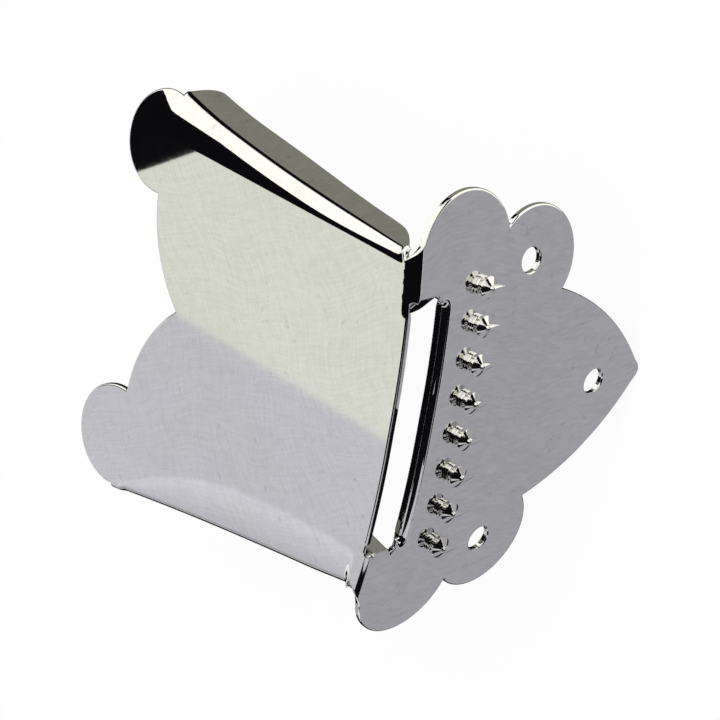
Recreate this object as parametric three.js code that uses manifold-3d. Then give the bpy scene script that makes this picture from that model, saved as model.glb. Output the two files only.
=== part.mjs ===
// A mandolin tailpiece: one pressed and plated sheet bracket with eight riveted string hooks.
// Millimetres. The origin is on the back face of the plate, on the centre line, level with the
// two upper screw holes. X runs across the tailpiece, Y into the instrument, Z up.

import * as THREE from 'three';
import { mergeVertices } from 'three/addons/utils/BufferGeometryUtils.js';
import Module from 'manifold-3d';

const wasm = await Module();
wasm.setup();

const quarterTurn = Math.PI / 2;
const degrees = THREE.MathUtils.degToRad;

// Sheet and the corner between the upright plate and the cover
const sheet = 0.85;
const cornerRadius = 1.6;
const cornerTurn = degrees(92);
const cornerLevel = 19.78;
const cornerLength = cornerRadius * cornerTurn;

// The plate is rolled to the rounded end of the instrument, apart from a flat strip in the middle
const flatHalf = 2.5;
const plateRadius = 137;
const bowFade = 10;

// Round lobes of the plate: centre and radius, with heights from the upper screw holes
const shoulder = { x: 22.1, z: 12.1, r: 8 };
const hip = { x: 18.7, z: -0.55, r: 7.5 };
const waistHalf = 14.3;
const pointLevel = -24.6;
const pointBulge = 1.9;
const pointRadius = 1.6;
const pointRise = 0.32;
const notchHalf = 22.2;

// Side folds of the cover: a soft crown, a tight fold, and an upright wall that flares outward
const wallHalf = 22.3;
const wallFlare = degrees(6.84);
const foldWidth = 1.9;
const foldStart = wallHalf - foldWidth;
const crownTurn = degrees(18);
const foldRadius = 1.6;
const foldFade = 1.5;

// Far edge of the cover: distances from the plate's front face
const tipLobeInset = 2;
const tipLobe = { x: wallHalf - tipLobeInset, y: 46.9, r: 6.75 };
const tipLobeStart = degrees(186);
const tipLobeEnd = degrees(-3);
const scallopDepth = 7.1;
const scallopBulge = 1.45;
const centreNotch = tipLobe.y - scallopDepth;

// Walls below the folds, from their near end to their far end
const wallFarInset = 3.6;
const wallNear = { y: 8.8, depth: 4.9 };
const wallFar = { y: tipLobe.y - wallFarInset, depth: 6 };
const wallFarStep = 0.7;
const wallFarSlant = 1.3;
const wallNearBulge = 1.1;

// String window: its lower rim is turned in
const windowHalf = 16.9;
const rimLevel = 14;
const rimRadius = 1.1;
const rimDepth = 1.8;
const rimCorner = 3;
const tongueLine = 0.5;
const tongueBlend = 2.2;
const windowCorner = 0.5;
const windowEndBulge = 0.5;

// Screw holes
const screwHoleRadius = 1.65;
const upperScrewHalf = 19.1;
const lowerScrewLevel = -15.7;

// String hooks, two for each course of strings
const hookCount = 8;
const hookPitch = 5;
const hookLevel = 9;
const hookGap = 0.1;
const shankRadius = 0.75;
const tailRadius = 1.15;
const tailDepth = 0.4;
const flangeRadius = 1.3;
const flangeHeight = 0.5;
const flangeRound = 0.15;
const postRadius = 0.72;
const headRadius = 1.45;
const headLevel = 1.35;
const headUnder = 0.5;
const headEdge = 0.15;
const headRise = 0.75;
const headTopShare = 0.12;
const beakLevel = 1.8;
const beakLength = 2.2;
const beakRadius = 0.48;
const beakTipRadius = 0.12;
const beakSwellShare = 0.94;
const beakLift = degrees(4);

// Fineness of the faceting
const cellSize = 4;
const rowSize = 2.2;
const bentSize = 0.9;
const leastGap = 0.2;
const arcStep = degrees(10);
const arcPiece = 1.8;
const bendSteps = 6;
const hookSides = 18;
const cutOverrun = 1;
const beyondShare = 50;
const leastFacet = 0.01;
const probe = 0.001;

const chrome = { color: 0xb9b9be, metalness: 1, roughness: 0.16 };

// Smooth step from 0 at the low value to 1 at the high one
function fade(value, low, high) {
  return THREE.MathUtils.smoothstep(value, low, high);
}

// A point of the flat blank: how far across, and how far along from the start of the corner
function onPlate(x, z) {
  return new THREE.Vector2(x, z - cornerLevel);
}

function onCover(x, y) {
  const cornerReach = cornerRadius * (1 - Math.cos(cornerTurn));
  return new THREE.Vector2(x, cornerLength + (y - cornerReach) / Math.sin(cornerTurn));
}

// Points of a circle, from one angle to another, both ends included
function arc(centre, radius, from, to) {
  const turn = Math.abs(to - from);
  const steps = Math.max(2, Math.ceil(turn / arcStep), Math.ceil((turn * radius) / arcPiece));
  const points = [];
  for (let i = 0; i <= steps; i += 1) {
    const angle = from + ((to - from) * i) / steps;
    const offset = new THREE.Vector2(Math.cos(angle), Math.sin(angle)).multiplyScalar(radius);
    points.push(offset.add(centre));
  }
  return points;
}

// Points of the arc between two places that bulges to the left of the way from the first
function bulged(from, to, bulge) {
  const chord = to.clone().sub(from);
  const half = chord.length() / 2;
  const radius = (half * half + bulge * bulge) / (2 * Math.abs(bulge));
  const left = new THREE.Vector2(-chord.y, chord.x).normalize();
  const side = Math.sign(bulge);
  const middle = from.clone().add(to).multiplyScalar(1 / 2);
  const centre = middle.clone().addScaledVector(left, bulge - side * radius);
  const start = from.clone().sub(centre).angle();
  let turn = to.clone().sub(centre).angle() - start;
  if (side > 0 && turn > 0) turn -= 2 * Math.PI;
  if (side < 0 && turn < 0) turn += 2 * Math.PI;
  return arc(centre, radius, start, start + turn);
}

// Where two circles cross, on the side with the larger x
function crossing(a, b) {
  const between = new THREE.Vector2(b.x - a.x, b.z - a.z);
  const gap = between.length();
  const reach = (a.r * a.r - b.r * b.r + gap * gap) / (2 * gap);
  const rise = Math.sqrt(Math.max(a.r * a.r - reach * reach, 0));
  between.normalize();
  return { x: a.x + between.x * reach - between.y * rise, z: a.z + between.y * reach + between.x * rise };
}

// Side fold at a distance along the cover: sizes of its crown, fold and wall
function foldAt(along) {
  const wall = wallHalf + Math.tan(wallFlare) * along;
  const foldReach = foldRadius * (1 - Math.sin(crownTurn));
  const crownRadius = (wall - foldStart - foldReach) / Math.sin(crownTurn);
  return {
    crownRadius,
    crownLength: crownRadius * crownTurn,
    crownDrop: crownRadius * (1 - Math.cos(crownTurn)),
    foldLength: foldRadius * (quarterTurn - crownTurn),
    foldDrop: foldRadius * Math.cos(crownTurn),
  };
}

// Width of flat sheet from the fold's start to a depth on its wall
function wallWidth(along, depth) {
  const f = foldAt(along);
  return foldStart + f.crownLength + f.foldLength + depth - f.crownDrop - f.foldDrop;
}

// The half outline of the flat blank, from the middle of the cover's far edge to the plate's point
function halfOutline() {
  const points = [];
  const push = (list) => list.forEach((p) => points.push(p));
  const lobeCentre = onCover(tipLobe.x, tipLobe.y);
  const lobe = arc(lobeCentre, tipLobe.r, tipLobeStart, tipLobeEnd);
  push(bulged(onCover(0, centreNotch), lobe[0], scallopBulge));
  push(lobe);

  const depthAt = (y) => THREE.MathUtils.mapLinear(y, wallNear.y, wallFar.y, wallNear.depth, wallFar.depth);
  const wallPoint = (y) => onCover(wallWidth(y, depthAt(y)), y);
  const lobeEnd = lobe[lobe.length - 1];
  const farEdge = wallPoint(wallFar.y);
  const corner = new THREE.Vector2(farEdge.x, lobeEnd.y - wallFarSlant);
  const cornerStart = lobeEnd.clone().setX(lobeEnd.x + wallFarStep);
  push(new THREE.QuadraticBezierCurve(cornerStart, corner, farEdge).getPoints(bendSteps));
  const near = wallPoint(wallNear.y);
  push([wallPoint((wallFar.y + wallNear.y) / 2)]);
  const notch = new THREE.Vector2(notchHalf, cornerLength);
  push(bulged(near, notch, wallNearBulge));

  const shoulderCentre = onPlate(shoulder.x, shoulder.z);
  const shoulderTop = Math.asin(THREE.MathUtils.clamp(-shoulderCentre.y / shoulder.r, -1, 1));
  const lobes = crossing(shoulder, hip);
  const shoulderEnd = Math.atan2(lobes.z - shoulder.z, lobes.x - shoulder.x);
  push(arc(shoulderCentre, shoulder.r, shoulderTop, shoulderEnd));
  const hipStart = Math.atan2(lobes.z - hip.z, lobes.x - hip.x);
  const hipEnd = -Math.PI + Math.acos(THREE.MathUtils.clamp((hip.x - waistHalf) / hip.r, -1, 1));
  push(arc(onPlate(hip.x, hip.z), hip.r, hipStart, hipEnd));
  const waist = points[points.length - 1];
  const tip = onPlate(0, pointLevel);
  const sideRun = bulged(waist, tip, pointBulge).filter((p) => p.x > pointRadius);
  push(sideRun);
  push([onPlate(pointRadius / 2, pointLevel + pointRise)]);
  push([tip]);
  return tidied(points);
}

// Points that lie closer together than a facet needs are left out
function tidied(points) {
  const kept = [];
  for (const p of points) {
    const last = kept[kept.length - 1];
    if (!last || last.distanceTo(p) > leastGap / 2) kept.push(p);
  }
  return kept;
}

// A half outline and its mirror image as one closed loop
function mirrored(half) {
  const other = half.slice(1, -1).map((p) => new THREE.Vector2(-p.x, p.y));
  return half.concat(other.reverse());
}

// The turned-in rim of the window at a place of the blank: how far in from the fold line,
// the way in, and how much of the turn is left towards the window's ends
const rimFold = onPlate(0, rimLevel).y;
const rimCentre = new THREE.Vector2(windowHalf + rimRadius - rimCorner, rimFold + rimCorner);
const rimLength = rimRadius * quarterTurn + rimDepth - rimRadius;

function rimAt(across, along) {
  if (across <= rimCentre.x) return { inward: along - rimFold, wayX: 0, wayY: 1, share: 1 };
  const out = new THREE.Vector2(across, along).sub(rimCentre);
  const distance = Math.max(out.length(), probe);
  const turn = Math.atan2(out.x, -out.y);
  return {
    inward: rimCorner - distance,
    wayX: -out.x / distance,
    wayY: -out.y / distance,
    share: 1 - fade(turn, 0, quarterTurn),
  };
}

function windowOutline() {
  const half = [];
  const steps = bendSteps + 2;
  for (let i = 0; i <= steps; i += 1) {
    const turn = (quarterTurn * i) / steps;
    const edge = THREE.MathUtils.lerp(rimRadius, rimLength, 1 - fade(turn, 0, quarterTurn));
    const radius = rimCorner - edge;
    half.push(new THREE.Vector2(rimCentre.x + radius * Math.sin(turn), rimCentre.y - radius * Math.cos(turn)));
  }
  const tongueEdge = onCover(0, tongueLine).y;
  const end = new THREE.Vector2(windowHalf, tongueEdge - windowCorner);
  bulged(half[half.length - 1], end, windowEndBulge).forEach((p) => half.push(p));
  half.push(...arc(new THREE.Vector2(windowHalf - windowCorner, end.y), windowCorner, 0, quarterTurn));
  const other = half.map((p) => new THREE.Vector2(-p.x, p.y));
  return tidied(half).concat(tidied(other).reverse());
}

// The roll of the plate: place and outward way of its front face at a distance across
function bow(across) {
  const turn = Math.max(across - flatHalf, 0) / plateRadius;
  const x = Math.min(across, flatHalf) + plateRadius * Math.sin(turn);
  return { x, y: plateRadius * (1 - Math.cos(turn)), turn };
}

// The outer face of the formed sheet at a place of the flat blank
function formed(s, v) {
  const side = s < 0 ? -1 : 1;
  let across = Math.abs(s);
  let along = v;
  let depth = 0;
  if (v < rimCentre.y && across < windowHalf + rimRadius) {
    const rim = rimAt(across, along);
    if (rim.inward > 0) {
      const turn = Math.min(rim.inward / rimRadius, quarterTurn);
      const turned = rimRadius * Math.sin(turn);
      const move = (turned - rim.inward) * rim.share;
      across += rim.wayX * move;
      along += rim.wayY * move;
      const straight = Math.max(rim.inward - rimRadius * quarterTurn, 0);
      depth = (rimRadius * (1 - Math.cos(turn)) + straight) * rim.share;
    }
  }
  const turn = THREE.MathUtils.clamp(along / cornerRadius, 0, cornerTurn);
  const run = Math.max(along - cornerLength, 0);
  if (run > 0 && across > foldStart) {
    const f = foldAt(run);
    const width = across - foldStart;
    const crown = Math.min(width, f.crownLength) / f.crownRadius;
    const past = Math.max(width - f.crownLength, 0);
    const fold = crownTurn + Math.min(past, f.foldLength) / foldRadius;
    let out = f.crownRadius * Math.sin(crown);
    let drop = f.crownRadius * (1 - Math.cos(crown));
    if (past > 0) {
      out += foldRadius * (Math.sin(fold) - Math.sin(crownTurn));
      drop += foldRadius * (Math.cos(crownTurn) - Math.cos(fold)) + Math.max(past - f.foldLength, 0);
    }
    const share = fade(run, 0, foldFade);
    across = foldStart + THREE.MathUtils.lerp(width, out, share);
    depth = drop * share;
  }
  const plate = bow(across);
  const bowShare = 1 - fade(run, 0, bowFade);
  const lean = plate.turn * (turn < cornerTurn ? 1 : 0);
  const normal = new THREE.Vector3(Math.sin(lean) * side * Math.cos(turn), -Math.cos(turn), Math.sin(turn));
  normal.normalize();
  const level = Math.min(along, 0) + cornerRadius * Math.sin(turn) + run * Math.cos(turn);
  const back = cornerRadius * (1 - Math.cos(turn)) + run * Math.sin(turn);
  const place = new THREE.Vector2(back, cornerLevel + level);
  if (along > 0 && along < cornerLength && across < windowHalf) {
    const past = along - cornerLength;
    const straight = new THREE.Vector2(
      cornerRadius * (1 - Math.cos(cornerTurn)) + past * Math.sin(cornerTurn),
      cornerLevel + cornerRadius * Math.sin(cornerTurn) + past * Math.cos(cornerTurn),
    );
    place.lerp(straight, 1 - fade(across, windowHalf - tongueBlend, windowHalf));
  }
  const x = THREE.MathUtils.lerp(across, plate.x, bowShare) * side;
  const point = new THREE.Vector3(x, place.x + plate.y * bowShare, place.y);
  return point.addScaledVector(normal, -depth);
}

// The outward way of that face, from four places close by
function facing(s, v) {
  const across = formed(s + probe, v).sub(formed(s - probe, v));
  const along = formed(s, v + probe).sub(formed(s, v - probe));
  return across.cross(along).normalize();
}

// Loops with no stretch longer than a facet of that part of the sheet may be
function divided(loop) {
  const points = [];
  loop.forEach((p, i) => {
    const next = loop[(i + 1) % loop.length];
    const bent = Math.abs(p.x + next.x) > foldStart * 2 && p.y + next.y > 0;
    const tight = bent && p.y < cornerLength + foldFade;
    const size = bent ? bentSize : cellSize;
    const steps = Math.ceil(p.distanceTo(next) / (tight ? bentSize / 2 : size));
    for (let k = 0; k < steps; k += 1) points.push(p.clone().lerp(next, k / steps));
  });
  return points;
}

function inside(loop, p) {
  let odd = false;
  loop.forEach((a, i) => {
    const b = loop[(i + 1) % loop.length];
    if ((a.y > p.y) !== (b.y > p.y) && p.x < ((b.x - a.x) * (p.y - a.y)) / (b.y - a.y) + a.x) odd = !odd;
  });
  return odd;
}

// A point is kept when no edge of the loop sees it inside the circle on that edge
function clearOf(loop, p) {
  return loop.every((a, i) => {
    const b = loop[(i + 1) % loop.length];
    return (a.x - p.x) * (b.x - p.x) + (a.y - p.y) * (b.y - p.y) > 0;
  });
}

// Places across and along the blank where facets meet, on both sides of the centre line
function facetPlaces(reach) {
  const places = [];
  const both = (x, y) => places.push(new THREE.Vector2(x, y), new THREE.Vector2(-x, y));
  const columns = [0, flatHalf];
  for (let x = flatHalf + cellSize; x < foldStart; x += cellSize) columns.push(x);
  for (let step = 0; step * cellSize < reach; step += 1) {
    for (let x = flatHalf; x < reach; x += cellSize) {
      const y = -(step + 1 / 2) * cellSize;
      if (rimRule(new THREE.Vector2(x, y)) < -cellSize / 3) both(x, y);
    }
    for (const x of columns) both(x, cornerLength + (step + 1 / 2) * cellSize);
  }
  for (const x of columns) both(x, cornerLength);
  for (let i = 0; i <= bendSteps; i += 1) {
    for (let x = windowHalf; x < notchHalf + shoulder.r; x += rowSize) both(x, (cornerLength * i) / bendSteps);
  }
  const runs = [];
  for (let i = 1; i <= bendSteps; i += 1) runs.push((foldFade * i) / bendSteps);
  while (runs[runs.length - 1] < reach) runs.push(runs[runs.length - 1] + rowSize);
  for (const run of runs) {
    const f = foldAt(run);
    for (let i = 0; i <= 2; i += 1) both(foldStart + (f.crownLength * i) / 2, cornerLength + run);
    const foldEnd = foldStart + f.crownLength;
    for (let i = 1; i <= bendSteps; i += 1) {
      both(foldEnd + (f.foldLength * i) / bendSteps, cornerLength + run);
    }
    for (let i = 1; i <= bendSteps; i += 1) both(foldEnd + f.foldLength + i * rowSize, cornerLength + run);
  }
  for (let i = 0; i <= bendSteps; i += 1) {
    const inward = (rimRadius * quarterTurn * i) / bendSteps;
    for (let x = 0; x <= rimCentre.x; x += rowSize) both(x, rimFold + inward);
    for (let k = 0; k <= bendSteps; k += 1) {
      const turn = (quarterTurn * k) / bendSteps;
      const radius = rimCorner - inward;
      both(rimCentre.x + radius * Math.sin(turn), rimCentre.y - radius * Math.cos(turn));
    }
  }
  return places;
}

function rimRule(p) {
  const near = p.y < rimCentre.y && Math.abs(p.x) < windowHalf + rimRadius;
  return near ? rimAt(Math.abs(p.x), p.y).inward : -cellSize;
}

// Triangles that join points so that no point lies inside another triangle's circle
function joined(points, reach) {
  const far = reach * beyondShare;
  const shifted = (p, i) => new THREE.Vector2(p.x + probe * Math.sin(i), p.y + probe * Math.cos(i * i));
  const all = points.map(shifted);
  const count = points.length;
  all.push(new THREE.Vector2(-far, -far), new THREE.Vector2(far, -far), new THREE.Vector2(0, far));
  const ringed = (a, b, c) => {
    const [p, q, r] = [all[a], all[b].clone().sub(all[a]), all[c].clone().sub(all[a])];
    const span = 2 * (q.x * r.y - q.y * r.x);
    const centre = new THREE.Vector2(
      (r.y * q.lengthSq() - q.y * r.lengthSq()) / span,
      (q.x * r.lengthSq() - r.x * q.lengthSq()) / span,
    );
    return { face: [a, b, c], x: p.x + centre.x, y: p.y + centre.y, square: centre.lengthSq() };
  };
  let rings = [ringed(count, count + 1, count + 2)];
  for (let i = 0; i < count; i += 1) {
    const { x, y } = all[i];
    const kept = [];
    const edges = new Map();
    for (const ring of rings) {
      if ((ring.x - x) ** 2 + (ring.y - y) ** 2 >= ring.square) {
        kept.push(ring);
        continue;
      }
      const [a, b, c] = ring.face;
      for (const [m, n] of [[a, b], [b, c], [c, a]]) {
        if (!edges.delete(`${n}_${m}`)) edges.set(`${m}_${n}`, [m, n]);
      }
    }
    for (const [m, n] of edges.values()) kept.push(ringed(m, n, i));
    rings = kept;
  }
  return rings.map((ring) => ring.face).filter((face) => face.every((i) => i < count));
}

// The flat blank as triangles that are fine where the sheet is bent
function blank() {
  const outline = divided(mirrored(halfOutline()));
  const hole = divided(windowOutline());
  const points = outline.concat(hole);
  const reach = points.reduce((most, p) => Math.max(most, Math.abs(p.x), Math.abs(p.y)), 0);
  for (const p of facetPlaces(reach)) {
    const within = inside(outline, p) && !inside(hole, p) && clearOf(outline, p) && clearOf(hole, p);
    if (within && points.every((q) => q.distanceTo(p) > leastGap)) points.push(p);
  }
  const faces = joined(points, reach).filter(([a, b, c]) => {
    const [p, q, r] = [points[a], points[b], points[c]];
    const middle = p.clone().add(q).add(r).divideScalar(3);
    const width = Math.abs(q.clone().sub(p).cross(r.clone().sub(p))) / q.distanceTo(r);
    return width > leastGap / 2 && inside(outline, middle) && !inside(hole, middle);
  });
  return { points, faces };
}

// A closed sheet: the outer face, the inner face one thickness behind it, and the cut edges
function sheetBody(mesh) {
  const outer = mesh.points.map((p) => formed(p.x, p.y));
  const inner = mesh.points.map((p, i) => outer[i].clone().addScaledVector(facing(p.x, p.y), -sheet));
  const count = mesh.points.length;
  const index = [];
  const edges = new Map();
  for (const [a, b, c] of mesh.faces) {
    index.push(a, b, c, a + count, c + count, b + count);
    for (const [i, j] of [[a, b], [b, c], [c, a]]) {
      if (!edges.delete(`${j}_${i}`)) edges.set(`${i}_${j}`, [i, j]);
    }
  }
  for (const [i, j] of edges.values()) index.push(j, i, i + count, j, i + count, j + count);
  const places = outer.concat(inner).flatMap((p) => p.toArray());
  const geometry = new THREE.BufferGeometry();
  geometry.setAttribute('position', new THREE.Float32BufferAttribute(places, 3));
  geometry.setIndex(index);
  return geometry;
}

// A geometry as a solid for joining and cutting, and back
function solid(geometry) {
  const bare = geometry.clone();
  bare.deleteAttribute('normal');
  bare.deleteAttribute('uv');
  const merged = mergeVertices(bare, probe / 10);
  return new wasm.Manifold(new wasm.Mesh({
    numProp: 3,
    vertProperties: new Float32Array(merged.attributes.position.array),
    triVerts: new Uint32Array(merged.index.array),
  }));
}

function geometryOf(body) {
  const mesh = body.getMesh();
  const geometry = new THREE.BufferGeometry();
  geometry.setAttribute('position', new THREE.Float32BufferAttribute(mesh.vertProperties, 3));
  geometry.setIndex(Array.from(mesh.triVerts));
  geometry.computeVertexNormals();
  return geometry;
}

// A turned body from a profile of radius and height; the axis is the way out of the plate
function turnedBody(profile, sides) {
  const points = profile.map(([radius, height]) => new THREE.Vector2(radius, height));
  return new THREE.LatheGeometry(points, sides);
}

// Puts a body whose axis is +Y on the plate's front face, standing square to it
function placeOnPlate(object, x, z) {
  const at = bow(Math.abs(x));
  const side = x < 0 ? -1 : 1;
  object.position.set(at.x * side, at.y, z);
  object.rotation.set(0, 0, Math.PI + at.turn * side);
  object.updateMatrix();
  return object;
}

// Hook shapes; heights are above the plate's front face
function hookGeometry() {
  const seat = hookGap;
  const tailTop = tailDepth - sheet;
  const headTop = headLevel + headRise;
  const profile = [
    [0, -sheet],
    [tailRadius, -sheet],
    [shankRadius, tailTop],
    [shankRadius, seat],
    [flangeRadius, seat],
    [flangeRadius, flangeHeight - flangeRound],
    [flangeRadius - flangeRound, flangeHeight],
    [postRadius + flangeRound, flangeHeight],
    [postRadius, flangeHeight + flangeRound],
    [postRadius, headLevel - headUnder],
    [headRadius, headLevel - headEdge],
    [headRadius, headLevel],
    [headRadius * headTopShare, headTop - headRise * headTopShare],
    [0, headTop - headRise * headTopShare / 2],
  ];
  const post = solid(turnedBody(profile, hookSides));

  const tipBase = beakLength - beakTipRadius;
  const beakProfile = [
    [0, -beakRadius],
    [beakRadius * Math.SQRT1_2, -beakRadius * Math.SQRT1_2],
    [beakRadius, 0],
    [beakRadius * beakSwellShare, beakLength / 3],
    [(beakRadius + beakTipRadius) / 2, (beakLength * 2) / 3],
    [beakTipRadius, tipBase],
    [0, beakLength],
  ];
  const beak = turnedBody(beakProfile, hookSides);
  beak.rotateX(-quarterTurn + beakLift);
  beak.translate(0, beakLevel, 0);
  return geometryOf(post.add(solid(beak)));
}

// The drill and countersink for one hook's shank and peened tail
function hookCutter() {
  const radius = shankRadius + hookGap;
  const slope = (tailRadius - shankRadius) / tailDepth;
  const tailTop = tailDepth - sheet + hookGap;
  const bottom = -sheet - cutOverrun;
  const bottomRadius = radius + slope * (tailTop - bottom);
  return turnedBody([[0, bottom], [bottomRadius, bottom], [radius, tailTop], [radius, cutOverrun],
    [0, cutOverrun]], hookSides);
}

function screwCutter() {
  const low = -sheet - cutOverrun;
  return turnedBody([[0, low], [screwHoleRadius, low], [screwHoleRadius, cutOverrun], [0, cutOverrun]],
    hookSides * 2);
}

function bracketGeometry(hookPlaces) {
  let body = solid(sheetBody(blank()));
  const cut = (cutter, x, z) => {
    const placed = placeOnPlate(new THREE.Object3D(), x, z);
    body = body.subtract(solid(cutter.clone().applyMatrix4(placed.matrix)));
  };
  for (const x of hookPlaces) cut(hookCutter(), x, hookLevel);
  cut(screwCutter(), upperScrewHalf, 0);
  cut(screwCutter(), -upperScrewHalf, 0);
  cut(screwCutter(), 0, lowerScrewLevel);
  return geometryOf(body.simplify(leastFacet));
}

// The tailpiece: the plate's back face lies on the plane through the origin
const tailpiece = new THREE.Group();
const onTail = new THREE.Group();
onTail.position.y = -sheet;
tailpiece.add(onTail);

const hookPlaces = [];
for (let i = 0; i < hookCount; i += 1) hookPlaces.push(((hookCount - 1) / 2 - i) * hookPitch);

const bracket = new THREE.Mesh(bracketGeometry(hookPlaces), new THREE.MeshStandardMaterial(chrome));
bracket.name = 'tail_bracket';
onTail.add(bracket);

const hookShape = hookGeometry();
hookPlaces.forEach((x, i) => {
  const hook = new THREE.Mesh(hookShape, new THREE.MeshStandardMaterial(chrome));
  hook.name = `string_hook_${i + 1}`;
  onTail.add(placeOnPlate(hook, x, hookLevel));
});

export default tailpiece;
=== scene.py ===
# %% [markdown]
# # A mandolin tailpiece in plated sheet
#
# The real part is one piece of sheet steel, about 0.85 mm thick. It is punched to a lobed outline,
# pressed to shape, polished and plated, and eight small string hooks are riveted through its plate.
# The model that this script starts from has the right sizes, but its facets are coarse, both its
# sides are alike, and a mirror finish shows every facet. So the bracket is formed here again by the
# same rule, with fine facets, rounded edges and two unlike sides, the hooks are placed by Geometry
# Nodes, and the plating is a node material. The last cells build the studio that it mirrors.

# %% Load the frame
import math
from functools import partial

import bmesh
import bpy
import numpy as np
from mathutils import Matrix, Vector
from mathutils.geometry import delaunay_2d_cdt


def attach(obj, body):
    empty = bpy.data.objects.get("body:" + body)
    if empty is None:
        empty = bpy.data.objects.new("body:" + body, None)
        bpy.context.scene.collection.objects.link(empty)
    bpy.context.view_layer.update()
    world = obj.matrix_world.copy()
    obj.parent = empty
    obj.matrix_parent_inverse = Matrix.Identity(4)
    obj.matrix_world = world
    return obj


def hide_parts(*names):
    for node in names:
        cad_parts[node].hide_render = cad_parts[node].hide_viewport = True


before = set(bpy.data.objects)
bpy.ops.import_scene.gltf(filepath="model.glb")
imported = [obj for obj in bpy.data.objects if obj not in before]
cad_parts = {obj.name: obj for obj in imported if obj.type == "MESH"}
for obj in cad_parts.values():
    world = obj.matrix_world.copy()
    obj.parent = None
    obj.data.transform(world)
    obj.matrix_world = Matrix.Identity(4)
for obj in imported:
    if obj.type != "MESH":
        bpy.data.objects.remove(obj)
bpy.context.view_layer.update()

scene = bpy.context.scene
scene.view_settings.view_transform = "Standard"
MM = 0.001
QUARTER = math.pi / 2


def placed(name, data):
    """A new object, put in the scene."""
    made = bpy.data.objects.new(name, data)
    scene.collection.objects.link(made)
    return made


def made_real(source, *used):
    """The mesh that an object's modifiers make; the objects behind it are removed."""
    bpy.context.view_layer.update()
    graph = bpy.context.evaluated_depsgraph_get()
    mesh = bpy.data.meshes.new_from_object(source.evaluated_get(graph))
    source.modifiers.clear()
    for part in (source, *used):
        bpy.data.objects.remove(part)
    return mesh


print("frame:", ", ".join(sorted(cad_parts)))

# %% [markdown]
# ## The sizes of the pressing
#
# A press tool is drawn from a few sizes: the thickness, the bend between plate and cover, the
# radius to which the plate is rolled, the lobes, and the two side folds. Everything else follows.
# They are in millimetres here, because that is how such a drawing is made. The plate's front face
# is at 0 in these sizes, one thickness in front of the frame's origin. A lobe is given by its place
# across, its level on the plate or its distance back on the cover, and its radius.

# %% Sizes of the pressing
SHEET = 0.85
CORNER_RADIUS = 1.6
CORNER_TURN = math.radians(92)
CORNER_LEVEL = 19.78
CORNER_LENGTH = CORNER_RADIUS * CORNER_TURN
CORNER_REACH = CORNER_RADIUS * (1 - math.cos(CORNER_TURN))

FLAT_HALF = 2.5
PLATE_RADIUS = 137
BOW_FADE = 10

SHOULDER = (22.1, 12.1, 8)
HIP = (18.7, -0.55, 7.5)
WAIST_HALF = 14.3
POINT_LEVEL = -24.6
POINT_BULGE = 1.9
POINT_RADIUS = 1.6
POINT_RISE = 0.32

CROWN_TURN = math.radians(18)
FOLD_SHARE = 0.8
LEAST_REACH = 0.8

TIP_LOBE = (20.3, 46.9, 6.75)
TIP_LOBE_TURN = (math.radians(186), math.radians(-3))
CENTRE_NOTCH_DEPTH = 7.1
SCALLOP_BULGE = 1.45
WALL_FAR_END = 43.3
WALL_FAR_STEP = 0.7
WALL_FAR_SLANT = 1.3
WALL_NEAR_BULGE = 1.1

WINDOW_HALF = 16.9
RIM_LEVEL = 14
RIM_RADIUS = 1.1
RIM_DEPTH = 1.8
RIM_CORNER = 2.6
TONGUE_LINE = 0.5
TONGUE_BLEND = 1.9
WINDOW_CORNER = 0.5
WINDOW_END_BULGE = 0.1
TAB_FOLD = 17.9
TAB_RADIUS = 1
TAB_BULGE = 1.4
TAB_RUN = (-3.05, -0.15)
TAB_BLEND = 0.4

SCREW_HOLE_RADIUS = 1.65
SCREW_HOLES = ((19.1, 0), (-19.1, 0), (0, -15.7))

RIM_FOLD = RIM_LEVEL - CORNER_LEVEL
RIM_CENTRE = (WINDOW_HALF + RIM_RADIUS - RIM_CORNER, RIM_FOLD + RIM_CORNER)
RIM_LENGTH = RIM_RADIUS * QUARTER + RIM_DEPTH - RIM_RADIUS
print(f"sheet {SHEET} mm, corner turned {math.degrees(CORNER_TURN):.0f} degrees")

# %% [markdown]
# ## Two sides folded by hand
#
# On the real part the two sides of the cover don't match, as when each is folded over by itself
# with a hand tool. The right one leans out over a wide round fold, and the lobe behind it hangs
# down a little. The left one stands square, with a soft crown before its fold that is widest at
# the bend. The punch leaves a small tab at each end of the window as well, and the two are turned
# in by different angles. A mirror finish shows all this at once, so each side has sizes of its
# own here, and the rules below take the side with them.

# %% What differs between the two folded sides
# "start" and "end" are where the crown starts and the fold ends across, at the bend, "sweep" and
# "flare" how far they move outwards along the side, and "relax" how far the fold's end moves out
# behind the wall. "tight" is the share of the fold's radius where it is tightest. The wall's depth
# runs from near to far and is full at "deepest". "near_end" is where the wall starts, and "notch"
# where its cut meets the bend. The last two are the turn and the edge of the window's tab.
RIGHT = {
    "start": 21.45, "sweep": 0, "end": 23.2, "flare": 3.5, "flare_power": 2, "relax": 3,
    "radius": 2.45, "tight": 0.4, "lean": math.radians(14),
    "near_depth": 4, "far_depth": 5.7, "deepest": 32, "near_end": 7.8, "notch": 22.2,
    "tab_turn": math.radians(45), "tab_edge": 14.6,
}
LEFT = {
    "start": 16.3, "sweep": 10, "end": 22.25, "flare": 5.16, "flare_power": 1, "relax": 0,
    "radius": 1.6, "tight": 1, "lean": 0,
    "near_depth": 4.9, "far_depth": 5.9, "deepest": 47, "near_end": 7.2, "notch": 20.8,
    "tab_turn": math.radians(80), "tab_edge": 13.4,
}
SIDE_LENGTH = 43
SWEEP_POWER = 3.3
FOLD_FADE = 1.5
TIGHT_RUN = (-8, 20)
RELAX_RUN = (44.5, 48)
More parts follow.
